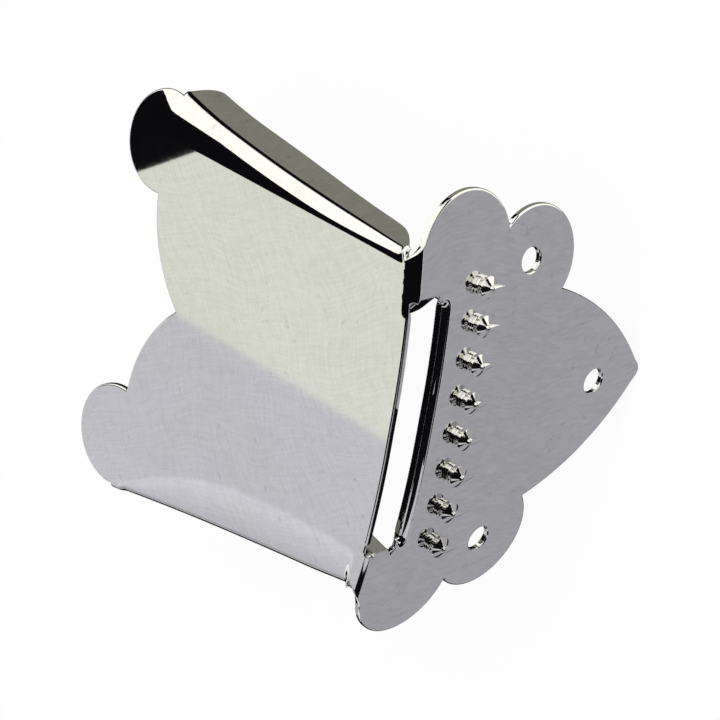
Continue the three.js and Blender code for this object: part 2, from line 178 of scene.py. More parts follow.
# The right lobe hangs down past a slanted line: the way across it, its distance and the radius
DROOP_WAY = (0.72, 0.694)
DROOP_LINE = 42.9
DROOP_RADIUS = 50
print(f"walls lean {math.degrees(RIGHT['lean']):.0f} and {math.degrees(LEFT['lean']):.0f} degrees")

# %% [markdown]
# ## The forming rule
#
# A bent sheet is easiest to describe as the press makes it: as a flat blank, and a rule that takes
# each place of the blank to its place in space. Here `s` is the distance across from the centre
# line and `v` the distance along from the start of the bend. The rule turns the window's rim and
# its two tabs in, bends the corner, folds the sides down in a soft crown and a tight fold, and
# rolls the plate. Because it is a formula, it gives the surface's direction as well, so that the
# mirror finish can be shaded exactly. The arrays hold many places at once, which keeps it quick.

# %% Fold sizes along the cover
def fade(value, low, high):
    """Smooth step from 0 at the low value to 1 at the high one."""
    share = np.clip((value - low) / (high - low), 0, 1)
    return share * share * (3 - 2 * share)


def fold_at(side, run):
    """Sizes of a side fold at a distance along the cover; side is 1 or -1."""
    own = {k: np.where(side > 0, RIGHT[k], LEFT[k]) for k in RIGHT}
    far = run / SIDE_LENGTH
    end = own["end"] + own["flare"] * far ** own["flare_power"]
    end = end + own["relax"] * fade(run, *RELAX_RUN)
    start = own["start"] + own["sweep"] * far**SWEEP_POWER
    start = np.minimum(start, end - LEAST_REACH * fade(run, 0, BOW_FADE))
    turn = QUARTER - own["lean"]
    share = np.sin(turn) - math.sin(CROWN_TURN)
    open_share = own["tight"] + (1 - own["tight"]) * fade(run, *TIGHT_RUN)
    radius = np.minimum(own["radius"] * open_share, FOLD_SHARE * (end - start) / share)
    crown = (end - start - radius * share) / math.sin(CROWN_TURN)
    return start, crown, radius, turn


crowns = [round(float(fold_at(side, 0)[0]), 2) for side in (1, -1)]
print("at the bend the crowns start", crowns[0], "and", crowns[1], "mm from the centre line")


# %% From the flat blank to the formed sheet
TINY = 1e-6
PROBE = 0.001


def rim_turned(across, along):
    """Turns the lower rim of the window in: new places across and along, and the depth."""
    dx, dy = across - RIM_CENTRE[0], along - RIM_CENTRE[1]
    far = np.maximum(np.hypot(dx, dy), TINY)
    corner = across > RIM_CENTRE[0]
    inward = np.where(corner, RIM_CORNER - far, along - RIM_FOLD)
    way_x, way_y = np.where(corner, -dx / far, 0), np.where(corner, -dy / far, 1)
    share = np.where(corner, 1 - fade(np.arctan2(dx, -dy), 0, QUARTER), 1)
    near = (along < RIM_CENTRE[1]) & (across < WINDOW_HALF + RIM_RADIUS) & (inward > 0)
    turn = np.clip(inward / RIM_RADIUS, 0, QUARTER)
    move = (RIM_RADIUS * np.sin(turn) - inward) * share * near
    straight = np.maximum(inward - RIM_RADIUS * QUARTER, 0)
    depth = (RIM_RADIUS * (1 - np.cos(turn)) + straight) * share * near
    return across + way_x * move, along + way_y * move, depth


def tab_turned(side, across, along):
    """Turns the tab at each end of the window in: the new place across, and the depth."""
    last = np.where(side > 0, RIGHT["tab_turn"], LEFT["tab_turn"])
    inward = np.maximum(TAB_FOLD - across, 0) * (across > WINDOW_HALF / 2)
    low, high = TAB_RUN
    share = fade(along, low - TAB_BLEND, low) * (1 - fade(along, high, high + TAB_BLEND))
    turn = np.minimum(inward / TAB_RADIUS, last)
    straight = np.maximum(inward - TAB_RADIUS * last, 0)
    moved = TAB_RADIUS * np.sin(turn) + straight * np.cos(last)
    depth = TAB_RADIUS * (1 - np.cos(turn)) + straight * np.sin(last)
    return across + (inward - moved) * share, depth * share


def side_folded(side, across, run):
    """Folds the side of the cover down: the new place across, and the drop."""
    start, crown_radius, radius, last = fold_at(side, run)
    width = np.maximum(across - start, 0)
    crown_length = crown_radius * CROWN_TURN
    crown = np.minimum(width, crown_length) / crown_radius
    past = np.maximum(width - crown_length, 0)
    fold_length = radius * (last - CROWN_TURN)
    fold = CROWN_TURN + np.minimum(past, fold_length) / radius
    straight = np.maximum(past - fold_length, 0)
    out = crown_radius * np.sin(crown) + radius * (np.sin(fold) - math.sin(CROWN_TURN))
    drop = crown_radius * (1 - np.cos(crown)) + radius * (math.cos(CROWN_TURN) - np.cos(fold))
    out = out + straight * np.cos(last)
    drop = drop + straight * np.sin(last)
    share = fade(run, 0, FOLD_FADE) * (run > 0)
    return np.minimum(across, start) + width + (out - width) * share, drop * share


def drooped(side, across, run):
    """How far the right lobe of the cover hangs below the cover's plane."""
    past = DROOP_WAY[0] * across + DROOP_WAY[1] * (run + CORNER_REACH) - DROOP_LINE
    return np.maximum(past, 0) ** 2 / (2 * DROOP_RADIUS) * (side > 0)


def bow(across):
    """The roll of the plate: place across, depth and turn of its front face."""
    turn = np.maximum(across - FLAT_HALF, 0) / PLATE_RADIUS
    x = np.minimum(across, FLAT_HALF) + PLATE_RADIUS * np.sin(turn)
    return x, PLATE_RADIUS * (1 - np.cos(turn)), turn


def formed(s, v):
    """The outer face of the sheet at places of the blank, in millimetres from the front face."""
    side = np.where(s < 0, -1.0, 1.0)
    across, along, depth = rim_turned(np.abs(s), v)
    across, tab_depth = tab_turned(side, across, along)
    depth = depth + tab_depth
    turn = np.clip(along / CORNER_RADIUS, 0, CORNER_TURN)
    run = np.maximum(along - CORNER_LENGTH, 0)
    across, drop = side_folded(side, across, run)
    depth = depth + drop + drooped(side, across, run)
    plate_x, plate_y, lean = bow(across)
    bow_share = 1 - fade(run, 0, BOW_FADE)
    lean = lean * (turn < CORNER_TURN)
    normal = np.stack([np.sin(lean) * side * np.cos(turn), -np.cos(turn), np.sin(turn)], 1)
    normal /= np.linalg.norm(normal, axis=1)[:, None]
    back = CORNER_RADIUS * (1 - np.cos(turn)) + run * np.sin(turn)
    level = CORNER_LEVEL + np.minimum(along, 0) + CORNER_RADIUS * np.sin(turn) + run * np.cos(turn)
    past = along - CORNER_LENGTH
    straight_back = CORNER_REACH + past * math.sin(CORNER_TURN)
    straight_level = (
        CORNER_LEVEL + CORNER_RADIUS * math.sin(CORNER_TURN) + past * math.cos(CORNER_TURN)
    )
    tongue = (along > 0) & (along < CORNER_LENGTH) & (across < WINDOW_HALF)
    flat = (1 - fade(across, WINDOW_HALF - TONGUE_BLEND, WINDOW_HALF)) * tongue
    back = back + (straight_back - back) * flat
    level = level + (straight_level - level) * flat
    x = (across + (plate_x - across) * bow_share) * side
    return np.stack([x, back + plate_y * bow_share, level], 1) - normal * depth[:, None]


def facing(s, v):
    """The outward direction of that face, from four places close by."""
    across = formed(s + PROBE, v) - formed(s - PROBE, v)
    along = formed(s, v + PROBE) - formed(s, v - PROBE)
    normal = np.cross(across, along)
    return normal / np.linalg.norm(normal, axis=1)[:, None]


plate_point = formed(np.zeros(1), np.array([POINT_LEVEL - CORNER_LEVEL]))
print("the plate's point goes to", plate_point.round(2).tolist())

# %% [markdown]
# ## The punched outline
#
# The punch cuts the blank along arcs: the lobes of the plate, the scallops of the cover and the
# window. They are built here from centres and radii, by one function for either half, so that the
# halves differ only where their sides do. The points stand close together, since the outline of
# a polished part is where flat facets show first.

# %% Arcs and bulges
EDGE_STEP = 0.35
LEAST_STEPS = 4
WALL_PLACES = 13
BEND_PLACES = 19


def arc(centre, radius, start, end):
    """Places on an arc, none further apart than the edge step."""
    steps = max(LEAST_STEPS, math.ceil(abs(end - start) * radius / EDGE_STEP))
    angles = np.linspace(start, end, steps + 1)
    return np.stack([centre[0] + radius * np.cos(angles), centre[1] + radius * np.sin(angles)], 1)


def bulged(start, end, bulge):
    """The arc between two places that bulges to the left of the way from the first."""
    start, end = np.array(start, float), np.array(end, float)
    chord = end - start
    half = np.hypot(*chord) / 2
    radius = (half**2 + bulge**2) / (2 * abs(bulge))
    left = np.array([-chord[1], chord[0]]) / (2 * half)
    centre = (start + end) / 2 + left * (bulge - math.copysign(radius, bulge))
    a = math.atan2(*(start - centre)[::-1])
    b = math.atan2(*(end - centre)[::-1])
    turn = (b - a) % (2 * math.pi)
    return arc(centre, radius, a, a + turn - (2 * math.pi if bulge > 0 else 0))


def divided(points):
    """The same run of points with none further apart than the edge step."""
    made = []
    for a, b in zip(points[:-1], points[1:]):
        steps = max(1, math.ceil(np.hypot(*(b - a)) / EDGE_STEP))
        made += [a + (b - a) * k / steps for k in range(steps)]
    return np.array(made + [points[-1]])


# %% Outline of the blank
def on_plate(x, z):
    """The blank's place that goes to a place of the flat plate."""
    return x, z - CORNER_LEVEL


def on_cover(x, y):
    """The blank's place that goes to a place of the flat cover."""
    return x, CORNER_LENGTH + (y - CORNER_REACH) / math.sin(CORNER_TURN)


def wall_point(side, y):
    """The edge of the side wall, at the depth that it has there."""
    own = RIGHT if side > 0 else LEFT
    depth = own["near_depth"]
    depth += (own["far_depth"] - depth) * fade(y, TONGUE_LINE, own["deepest"])
    start, crown, radius, last = fold_at(side, y)
    drop = crown * (1 - math.cos(CROWN_TURN)) + radius * (math.cos(CROWN_TURN) - np.cos(last))
    bent = crown * CROWN_TURN + radius * (last - CROWN_TURN)
    return on_cover(float(start + bent + (depth - drop) / np.sin(last)), y)


def plate_half():
    """The edge of one half of the plate, from the notch at the bend down to the point."""
    (sx, sz, sr), (hx, hz, hr) = SHOULDER, HIP
    gap = math.hypot(hx - sx, hz - sz)
    reach = (sr**2 - hr**2 + gap**2) / (2 * gap)
    rise = math.sqrt(sr**2 - reach**2)
    way = ((hx - sx) / gap, (hz - sz) / gap)
    cross = (sx + way[0] * reach - way[1] * rise, sz + way[1] * reach + way[0] * rise)
    centre = on_plate(sx, sz)
    shoulder = arc(
        centre, sr, math.asin(-centre[1] / sr), math.atan2(cross[1] - sz, cross[0] - sx)
    )
    hip_end = -math.pi + math.acos((hx - WAIST_HALF) / hr)
    hip = arc(on_plate(hx, hz), hr, math.atan2(cross[1] - hz, cross[0] - hx), hip_end)
    tip = on_plate(0, POINT_LEVEL)
    run = bulged(hip[-1], tip, POINT_BULGE)
    run = run[run[:, 0] > POINT_RADIUS]
    nose = np.array([on_plate(POINT_RADIUS / 2, POINT_LEVEL + POINT_RISE), tip])
    return np.concatenate([shoulder, hip, run, nose])


def cover_half(side):
    """The edge of one half of the cover, from its middle notch round to the notch at the bend."""
    own = RIGHT if side > 0 else LEFT
    lobe = arc(on_cover(*TIP_LOBE[:2]), TIP_LOBE[2], *TIP_LOBE_TURN)
    centre_notch = on_cover(0, TIP_LOBE[1] - CENTRE_NOTCH_DEPTH)
    scallop = bulged(centre_notch, lobe[0], SCALLOP_BULGE)
    far = np.array(wall_point(side, WALL_FAR_END))
    step = lobe[-1] + np.array([WALL_FAR_STEP, 0])
    knee = np.array([far[0], lobe[-1][1] - WALL_FAR_SLANT])
    t = np.linspace(0, 1, WALL_PLACES)[:, None]
    shoulder = step * (1 - t) ** 2 + knee * 2 * t * (1 - t) + far * t**2
    along = np.linspace(WALL_FAR_END, own["near_end"], WALL_PLACES)
    walls = [wall_point(side, y) for y in along[1:-1]]
    notch = (own["notch"], CORNER_LENGTH)
    near = bulged(wall_point(side, own["near_end"]), notch, WALL_NEAR_BULGE)
    return np.concatenate([scallop, lobe, shoulder, walls, near])


def closed_loop(right, left):
    """Two half outlines as one, without doubled points and running anticlockwise."""
    right, left = divided(right), divided(left)
    right[0, 0] = right[-1, 0] = 0
    loop = np.concatenate([right, left[1:-1][::-1] * (-1, 1)])
    keep = np.hypot(*(loop - np.roll(loop, 1, 0)).T) > EDGE_STEP / 4
    loop = loop[keep]
    x, y = loop.T
    area = np.sum(x * np.roll(y, -1) - np.roll(x, -1) * y)
    return loop if area > 0 else loop[::-1]


outline = closed_loop(*(np.concatenate([cover_half(side), plate_half()]) for side in (1, -1)))
print(f"the outline has {len(outline)} points")


# %% Window and screw holes
def rim_corner(radius, turn):
    """Places on the round corner of the rim, at a distance from its centre."""
    x, y = RIM_CENTRE
    return np.stack([x + radius * np.sin(turn), y - radius * np.cos(turn)], 1)


def window_half(side):
    """Half of the window: the turned-in rim, the end with its tab, and the cover's edge."""
    turn = np.linspace(0, QUARTER, BEND_PLACES)
    inset = RIM_RADIUS + (RIM_LENGTH - RIM_RADIUS) * (1 - fade(turn, 0, QUARTER))
    rim = rim_corner(RIM_CORNER - inset, turn)
    edge = (RIGHT if side > 0 else LEFT)["tab_edge"]
    (low, high), relief = TAB_RUN, WINDOW_HALF - WINDOW_CORNER
    tab = [[(relief, low)], bulged((edge, low), (edge, high), TAB_BULGE), [(relief, high)]]
    top = on_cover(0, TONGUE_LINE)[1]
    end = bulged((WINDOW_HALF, 0), (WINDOW_HALF, top - WINDOW_CORNER), WINDOW_END_BULGE)
    corner = arc((relief, top - WINDOW_CORNER), WINDOW_CORNER, 0, QUARTER)
    return np.concatenate([[(0, rim[0][1])], rim, *tab, end, corner, [(0, top)]])


window = closed_loop(window_half(1), window_half(-1))[::-1]
screw_holes = [
    arc(on_plate(x, z), SCREW_HOLE_RADIUS, 0, -2 * math.pi)[:-1] for x, z in SCREW_HOLES
]
loops = [outline, window, *screw_holes]
print(f"the window has {len(window)} points, each screw hole {len(screw_holes[0])}")

# %% [markdown]
# ## Facets of the blank
#
# Blender can join scattered points into triangles inside a boundary. The points are seeded in rows
# that stand close together where the sheet bends and further apart where it is flat. The boundary
# that is filled lies a little inside the real edge, because the strip between them becomes the
# rounded edge that tumbling and polishing leave on such a part.

# %% Where the seeds of the facets go
# The two roundings of an edge, and the limits of its inset where the outline has a corner
EDGE_ROUND = 0.3
BACK_ROUND = 0.15
LEAST_COSINE = 0.1
MOST_STRETCH = 1.4
NO_RISE = 1e-12
BATCH = 2000

# Rows along and places across: where they run and how close they stand, or how many there are
FINE_GAP = 1
WIDE_GAP = 1.6
SEED_GAP = 0.11
RIM_ROW_GAP = 0.12
PLATE_ROWS = (-48, 0, WIDE_GAP)
BEND_END_ROWS = (0.15, 2, 0.15)
COVER_ROWS = (2, 58, 0.9)
PLATE_REACH = 34
BEND_LEAD = 0.5
CROWN_PLACES = 9
WALL_COLUMNS = (0.8, 8)
TAB_ROWS, TAB_PLACES, TAB_MARGIN = 12, 16, 0.2
RIM_ROWS, RIM_PLACES = 16, 13


def inset_ways(loop):
    """The outward way at each point of a loop, made longer where the loop turns."""
    after = np.roll(loop, -1, 0) - loop
    after /= np.linalg.norm(after, axis=1)[:, None]
    before = np.roll(after, 1, 0)
    way = after + before
    way /= np.linalg.norm(way, axis=1)[:, None]
    stretch = np.minimum(1 / np.maximum((way * after).sum(1), LEAST_COSINE), MOST_STRETCH)
    return np.stack([way[:, 1], -way[:, 0]], 1) * stretch[:, None]


def within(points):
    """Which points lie on the sheet: those with an odd number of edges to their right."""
    odd = np.zeros(len(points), bool)
    for loop in inner_loops:
        a, b = loop, np.roll(loop, -1, 0)
        rise = np.where(a[:, 1] == b[:, 1], NO_RISE, b[:, 1] - a[:, 1])
        for i in range(0, len(points), BATCH):
            px, py = points[i : i + BATCH, :1], points[i : i + BATCH, 1:]
            spans = (a[:, 1] > py) != (b[:, 1] > py)
            x = a[:, 0] + (py - a[:, 1]) * (b[:, 0] - a[:, 0]) / rise
            odd[i : i + BATCH] ^= ((px < x) & spans).sum(1) % 2 == 1
    return odd


def seeds(side):
    """Places where facets meet, on one side of the centre line: rows along, columns across."""
    rows = [*np.arange(*PLATE_ROWS), *np.linspace(0, CORNER_LENGTH, BEND_PLACES)]
    rows += [*np.arange(RIM_FOLD, RIM_FOLD + RIM_LENGTH, RIM_ROW_GAP)]
    rows += [CORNER_LENGTH + r for r in (*np.arange(*BEND_END_ROWS), *np.arange(*COVER_ROWS))]
    made = []
    for v in rows:
        run = max(v - CORNER_LENGTH, 0)
        fine = 0 <= v <= CORNER_LENGTH or RIM_FOLD <= v <= RIM_FOLD + RIM_LENGTH
        start, crown, radius, last = fold_at(side, run)
        places = [np.arange(0, PLATE_REACH if run == 0 else start, FINE_GAP if fine else WIDE_GAP)]
        if v >= CORNER_LENGTH - BEND_LEAD:
            crown_end = start + crown * CROWN_TURN
            fold_end = crown_end + radius * (last - CROWN_TURN)
            places += [np.linspace(start, crown_end, CROWN_PLACES)]
            places += [np.linspace(crown_end, fold_end, BEND_PLACES)]
            places += [np.arange(*(fold_end + column for column in WALL_COLUMNS), FINE_GAP)]
        across = np.concatenate(places)
        made.append(np.stack([across * side, np.full(len(across), v)], 1))
    tab_end = TAB_FOLD - TAB_RADIUS * QUARTER
    for v in np.linspace(TAB_RUN[0] - TAB_BLEND, TAB_RUN[1] + TAB_BLEND, TAB_ROWS):
        x = np.linspace(TAB_FOLD + TAB_MARGIN, tab_end - TAB_MARGIN, TAB_PLACES)
        made.append(np.stack([x * side, np.full(len(x), v)], 1))
    for inward in np.linspace(0, RIM_LENGTH, RIM_ROWS):
        turn = np.linspace(0, QUARTER, RIM_PLACES)
        made.append(rim_corner(RIM_CORNER - inward, turn) * (side, 1))
    return np.concatenate(made)


print(f"facets are {FINE_GAP} to {WIDE_GAP} mm wide, and {EDGE_STEP} mm long at the edge")


# %% Joining the seeds
NEAR_ENOUGH = 1e-5


def spread(points, gap):
    """Points that keep a gap from each other and from the loops, in the order given."""
    cells = {}
    for loop in inner_loops:
        for p in loop:
            cells.setdefault((int(p[0] // gap), int(p[1] // gap)), []).append(p)
    kept = []
    for p in points:
        cell = (int(p[0] // gap), int(p[1] // gap))
        near = [q for i in (-1, 0, 1) for j in (-1, 0, 1)
                for q in cells.get((cell[0] + i, cell[1] + j), ())]
        if all((p[0] - q[0]) ** 2 + (p[1] - q[1]) ** 2 > gap * gap for q in near):
            cells.setdefault(cell, []).append(p)
            kept.append(p)
    return np.array(kept)


ways = [inset_ways(loop) for loop in loops]
inner_loops = [loop - way * EDGE_ROUND for loop, way in zip(loops, ways)]
both = np.concatenate([seeds(1), seeds(-1)])
inside = spread(both[within(both)], SEED_GAP)
flat_points = np.concatenate([*inner_loops, inside])
starts = np.cumsum([0] + [len(loop) for loop in inner_loops])
borders = [
    (start + i, start + (i + 1) % len(loop))
    for start, loop in zip(starts, inner_loops)
    for i in range(len(loop))
]
verts, _, faces, _, _, _ = delaunay_2d_cdt(
    [Vector(p) for p in flat_points], borders, [], 0, NEAR_ENOUGH
)
blank = np.array([tuple(v) for v in verts])
triangles = np.array([f for f in faces if len(f) == 3])
middles = blank[triangles].mean(1)
triangles = triangles[within(middles)]
assert len(blank) == len(flat_points), (len(blank), len(flat_points))
print(f"the blank has {len(blank)} points and {len(triangles)} triangles")

# %% [markdown]
# ## The bracket
#
# Each point of the blank now gives two points of the sheet, one on the outer face and one a
# thickness behind it, and rings of points round each edge join the two with a rounded profile.
# The shading directions come from the forming rule too. Worked out from the facets they would
# ripple, and a mirror finish would show it as wavy reflections.

# %% Rounded edges and the closed sheet
EDGE_STEPS = 5


def edge_profile():
    """Inset, depth and turn of the rings round an edge, between the two faces."""
    rings = []
    for k in range(1, EDGE_STEPS + 1):
        turn = QUARTER * k / EDGE_STEPS
        rings.append((EDGE_ROUND * (1 - math.sin(turn)), EDGE_ROUND * (1 - math.cos(turn)), turn))
    for k in range(EDGE_STEPS):
        turn = QUARTER + QUARTER * k / EDGE_STEPS
        inset = EDGE_ROUND * (1 - math.sin(turn))
        rings.append((inset, SHEET - BACK_ROUND * (1 + math.cos(turn)), turn))
    return rings


def ring(loop, way, inset, depth, turn):
    """Points and shading directions of one ring round an edge."""
    place = loop - way * inset
    normal = facing(*place.T)
    out = formed(*(place + way * PROBE).T) - formed(*(place - way * PROBE).T)
    out /= np.linalg.norm(out, axis=1)[:, None]
    points = formed(*place.T) - normal * depth
    return points, normal * math.cos(turn) + out * math.sin(turn)


def sheet_mesh():
    """Points, shading directions, triangles and edge quads of the whole sheet."""
    normals = facing(*blank.T)
    outer = formed(*blank.T)
    points = [outer, outer - normals * SHEET]
    shading = [normals, -normals]
    count = len(blank)
    quads = []
    total = 2 * count
    for start, loop, way in zip(starts, loops, ways):
        size = len(loop)
        rows = [np.arange(size) + start]
        for inset, depth, turn in edge_profile():
            ring_points, ring_normals = ring(loop, way, inset, depth, turn)
            points.append(ring_points)
            shading.append(ring_normals)
            rows.append(np.arange(size) + total)
            total += size
        rows.append(np.arange(size) + start + count)
        for upper, lower in zip(rows[:-1], rows[1:]):
            quads.append(np.stack([np.roll(upper, -1), upper, lower, np.roll(lower, -1)], 1))
    flats = np.concatenate([triangles, triangles[:, ::-1] + count])
    return np.concatenate(points), np.concatenate(shading), flats, np.concatenate(quads)


points, shading, flats, quads = sheet_mesh()
places = (points + np.array([0, -SHEET, 0])) * MM
mesh = bpy.data.meshes.new("tail_bracket_formed")
mesh.from_pydata(places.tolist(), [], flats.tolist() + quads.tolist())
mesh.polygons.foreach_set("use_smooth", [True] * len(mesh.polygons))
mesh.normals_split_custom_set_from_vertices(shading.tolist())
bracket = placed("tail_bracket_formed", mesh)
print(f"bracket: {len(flats) + 2 * len(quads)} triangles")


# %% [markdown]
# ## Plating
#
# Chrome and nickel plating are metal all through to a shader: the colour is that of the
# reflection. What keeps it from looking like a computer mirror is its history. Buffing leaves fine
# streaks that cross each other, and the coat is never quite even and has tiny pits. The streaks
# here are three layers of noise, each stretched along a way of its own and bent a little by a
# broader noise. They change shade, roughness and height together, as a real streak does. The
# clouds in the coat and the pits are noise as well, a broad one and a very fine one.

# %% Small helpers for node trees
def give(tree, socket, value):
    """Gives an input what it needs: a value is set, and another socket is linked."""
    if isinstance(value, bpy.types.NodeSocket):
        tree.links.new(value, socket)
    else:
        socket.default_value = value


def add(tree, kind, **inputs):
    """A node with its inputs set by name."""
    made = tree.nodes.new(kind)
    for name, value in inputs.items():
        give(tree, made.inputs[name.replace("_", " ")], value)
    return made


def node_material(name):
    """A new material and its node tree."""
    material = bpy.data.materials.new(name)
    material.use_nodes = True
    return material, material.node_tree


def math_node(tree, operation, *values):
    """The result of an operation on one or two values or sockets."""
    made = tree.nodes.new("ShaderNodeMath")
    made.operation = operation
    for socket, value in zip(made.inputs, values):
        give(tree, socket, value)
    return made.outputs[0]


def ramp(tree, source, *stops):
    """A colour ramp on a value, between two stops of place and colour."""
    made = add(tree, "ShaderNodeValToRGB", Fac=source)
    for element, (place, colour) in zip(made.color_ramp.elements, stops):
        element.position = place
        element.color = (*colour, 1)
    return made.outputs["Color"]


def noise(tree, coords, scale, detail=2):
    """The outputs of a noise texture."""
    return add(tree, "ShaderNodeTexNoise", Vector=coords, Scale=scale, Detail=detail).outputs


def streaks(tree, coords, turn, stretch, scale):
    """Noise stretched along one way of the sheet, as a buffing wheel leaves it."""
    mapping = add(tree, "ShaderNodeMapping", Vector=coords, Scale=(1, 1 / stretch, 1),
                  Rotation=(0, 0, math.radians(turn)))
    mapping.vector_type = "TEXTURE"
    return noise(tree, mapping.outputs["Vector"], scale, STREAK_DETAIL)["Fac"]


# %% The plated sheet
# Each layer of streaks has a turn in degrees, a stretch and a scale
STREAK_LAYERS = ((-67, 14, 260), (35, 9, 320), (-20, 22, 700))
STREAK_DETAIL = 6
STREAK_SHADE = 0.07
SHADE_RANGE = (1.2, 1.8)
ROUGH_RANGE = (1.1, 1.9)
ROUGH_RISE = 2.2
BEND_SCALE, BEND_SHARE = 40, 0.012
CLOUD_SCALE, CLOUD_DETAIL, CLOUD_STOPS = 55, 5, (0.32, 0.68)
PIT_SCALE, PIT_STOPS, PIT_SHADE = 900, (0.66, 0.74), 0.86


def plated_material(name, colour, tint, roughness, streak_height, shift):
    """Plating with clouds between two tones, small pits, and streaks in its shade and height."""
    material, tree = node_material(name)
    shader = tree.nodes["Principled BSDF"]
    shader.inputs["Metallic"].default_value = 1
    coords = add(tree, "ShaderNodeTexCoord").outputs["Object"]
    place = add(tree, "ShaderNodeMapping", Vector=coords,
                Location=(shift, shift / 2, -shift)).outputs["Vector"]
    bend = noise(tree, place, BEND_SCALE)["Color"]
    sweep = add(tree, "ShaderNodeMixRGB", Fac=BEND_SHARE, Color1=place, Color2=bend)
    layers = [streaks(tree, sweep.outputs["Color"], *layer) for layer in STREAK_LAYERS]
    total = math_node(tree, "ADD", math_node(tree, "ADD", *layers[:2]), layers[2])

    cloud = noise(tree, place, CLOUD_SCALE, CLOUD_DETAIL)["Fac"]
    coat = ramp(tree, cloud, *zip(CLOUD_STOPS, (colour, tint)))
    specks = noise(tree, place, PIT_SCALE)["Fac"]
    pits = ramp(tree, specks, *zip(PIT_STOPS, ((0, 0, 0), (1, 1, 1))))
    dull = add(tree, "ShaderNodeMixRGB", Fac=pits, Color1=coat,
               Color2=(*[c * PIT_SHADE for c in colour], 1))
    shade = add(tree, "ShaderNodeMapRange", Value=total, From_Min=SHADE_RANGE[0],
                From_Max=SHADE_RANGE[1], To_Min=1 - STREAK_SHADE, To_Max=1 + STREAK_SHADE)
    streaked = add(tree, "ShaderNodeVectorMath", Vector=dull.outputs["Color"])
    streaked.operation = "SCALE"
    tree.links.new(shade.outputs["Result"], streaked.inputs["Scale"])
    tree.links.new(streaked.outputs["Vector"], shader.inputs["Base Color"])

    rough = add(tree, "ShaderNodeMapRange", Value=total, From_Min=ROUGH_RANGE[0],
                From_Max=ROUGH_RANGE[1], To_Min=roughness, To_Max=roughness * ROUGH_RISE)
    tree.links.new(rough.outputs["Result"], shader.inputs["Roughness"])
    bump = add(tree, "ShaderNodeBump", Height=total, Strength=1, Distance=streak_height)
    tree.links.new(bump.outputs["Normal"], shader.inputs["Normal"])
    return material


plated_sheet = plated_material(
    "plated_sheet", colour=(0.80, 0.80, 0.80), tint=(0.78, 0.78, 0.762),
    roughness=0.02, streak_height=1.2e-7, shift=0.3,
)
plated_hook = plated_material(
    "plated_hook", colour=(0.84, 0.835, 0.80), tint=(0.80, 0.79, 0.76),
    roughness=0.05, streak_height=4e-7, shift=0.7,
)
bracket.data.materials.append(plated_sheet)
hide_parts("tail_bracket")
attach(bracket, "root")
print("plating:", plated_sheet.name, "and", plated_hook.name)

# %% [markdown]
# ## One string hook
#
# A hook pin is turned from rod: a collar that seats on the plate, a short neck under a low conical
# head, and a tail that is peened over at the back. A pointed beak on the head keeps the string's
# loop from slipping off. A turned shape is a profile spun about its axis, so both the pin and its
# beak are made by one short lathe function, and a boolean union joins them.

# %% Turned shapes
HOOK_SIDES = 40
ROUND_STEPS = 6
FLANGE_RADIUS = 1.3
FLANGE_HEIGHT = 0.5
POST_RADIUS = 0.72
HEAD_RADIUS = 1.45
HEAD_LEVEL = 1.35
HEAD_UNDER = 0.5
HEAD_EDGE = 0.15
HEAD_EDGE_TURN = (-65, 62)
HEAD_RISE = 0.75
CONE_RINGS = (0.9, 0.5)
APEX_RADIUS = 0.3
TAIL_RADIUS = 1.15
BEAK_LEVEL = 1.8
BEAK_LENGTH = 2.2
BEAK_RADIUS = 0.48
BEAK_TIP_RADIUS = 0.12
BEAK_SWELL_POWER = 1.6
BEAK_STEPS = 13
BEAK_TIP_STEPS = 4
AXIS_TURN = 10
BEAK_LIFT = math.radians(4)


def turned(profile, matrix):
    """A closed turned body from points of radius and height along +Z, placed by a matrix."""
    body = bmesh.new()
    rings = []
    for radius, height in profile:
        if radius == 0:
            rings.append([body.verts.new(matrix @ Vector((0, 0, height)))])
            continue
        angles = (2 * math.pi * k / HOOK_SIDES for k in range(HOOK_SIDES))
        rings.append([
            body.verts.new(matrix @ Vector((radius * math.cos(a), radius * math.sin(a), height)))
            for a in angles
        ])
    for low, high in zip(rings[:-1], rings[1:]):
        for k in range(HOOK_SIDES):
            n = (k + 1) % HOOK_SIDES
            corners = [low[k % len(low)], low[n % len(low)],
                       high[n % len(high)], high[k % len(high)]]
            body.faces.new(list(dict.fromkeys(corners)))
    bmesh.ops.recalc_face_normals(body, faces=body.faces)
    mesh = bpy.data.meshes.new("turned")
    body.to_mesh(mesh)
    body.free()
    return placed("turned", mesh)


def round_arc(centre_radius, centre_height, radius, start, end, steps=ROUND_STEPS):
    """A rounded stretch of a profile, by the two angles in degrees between which it runs."""
    angles = np.linspace(math.radians(start), math.radians(end), steps + 1)
    return [(centre_radius + radius * math.cos(a), centre_height + radius * math.sin(a))
            for a in angles]


# %% The pin and its beak
COLLAR_ROUND = 0.16
FOOT_ROUND = 0.05
FOOT_SINK = 0.02
NECK_ROUND = 0.16
TAIL_RISE = 0.1
TAIL_STEPS = 6

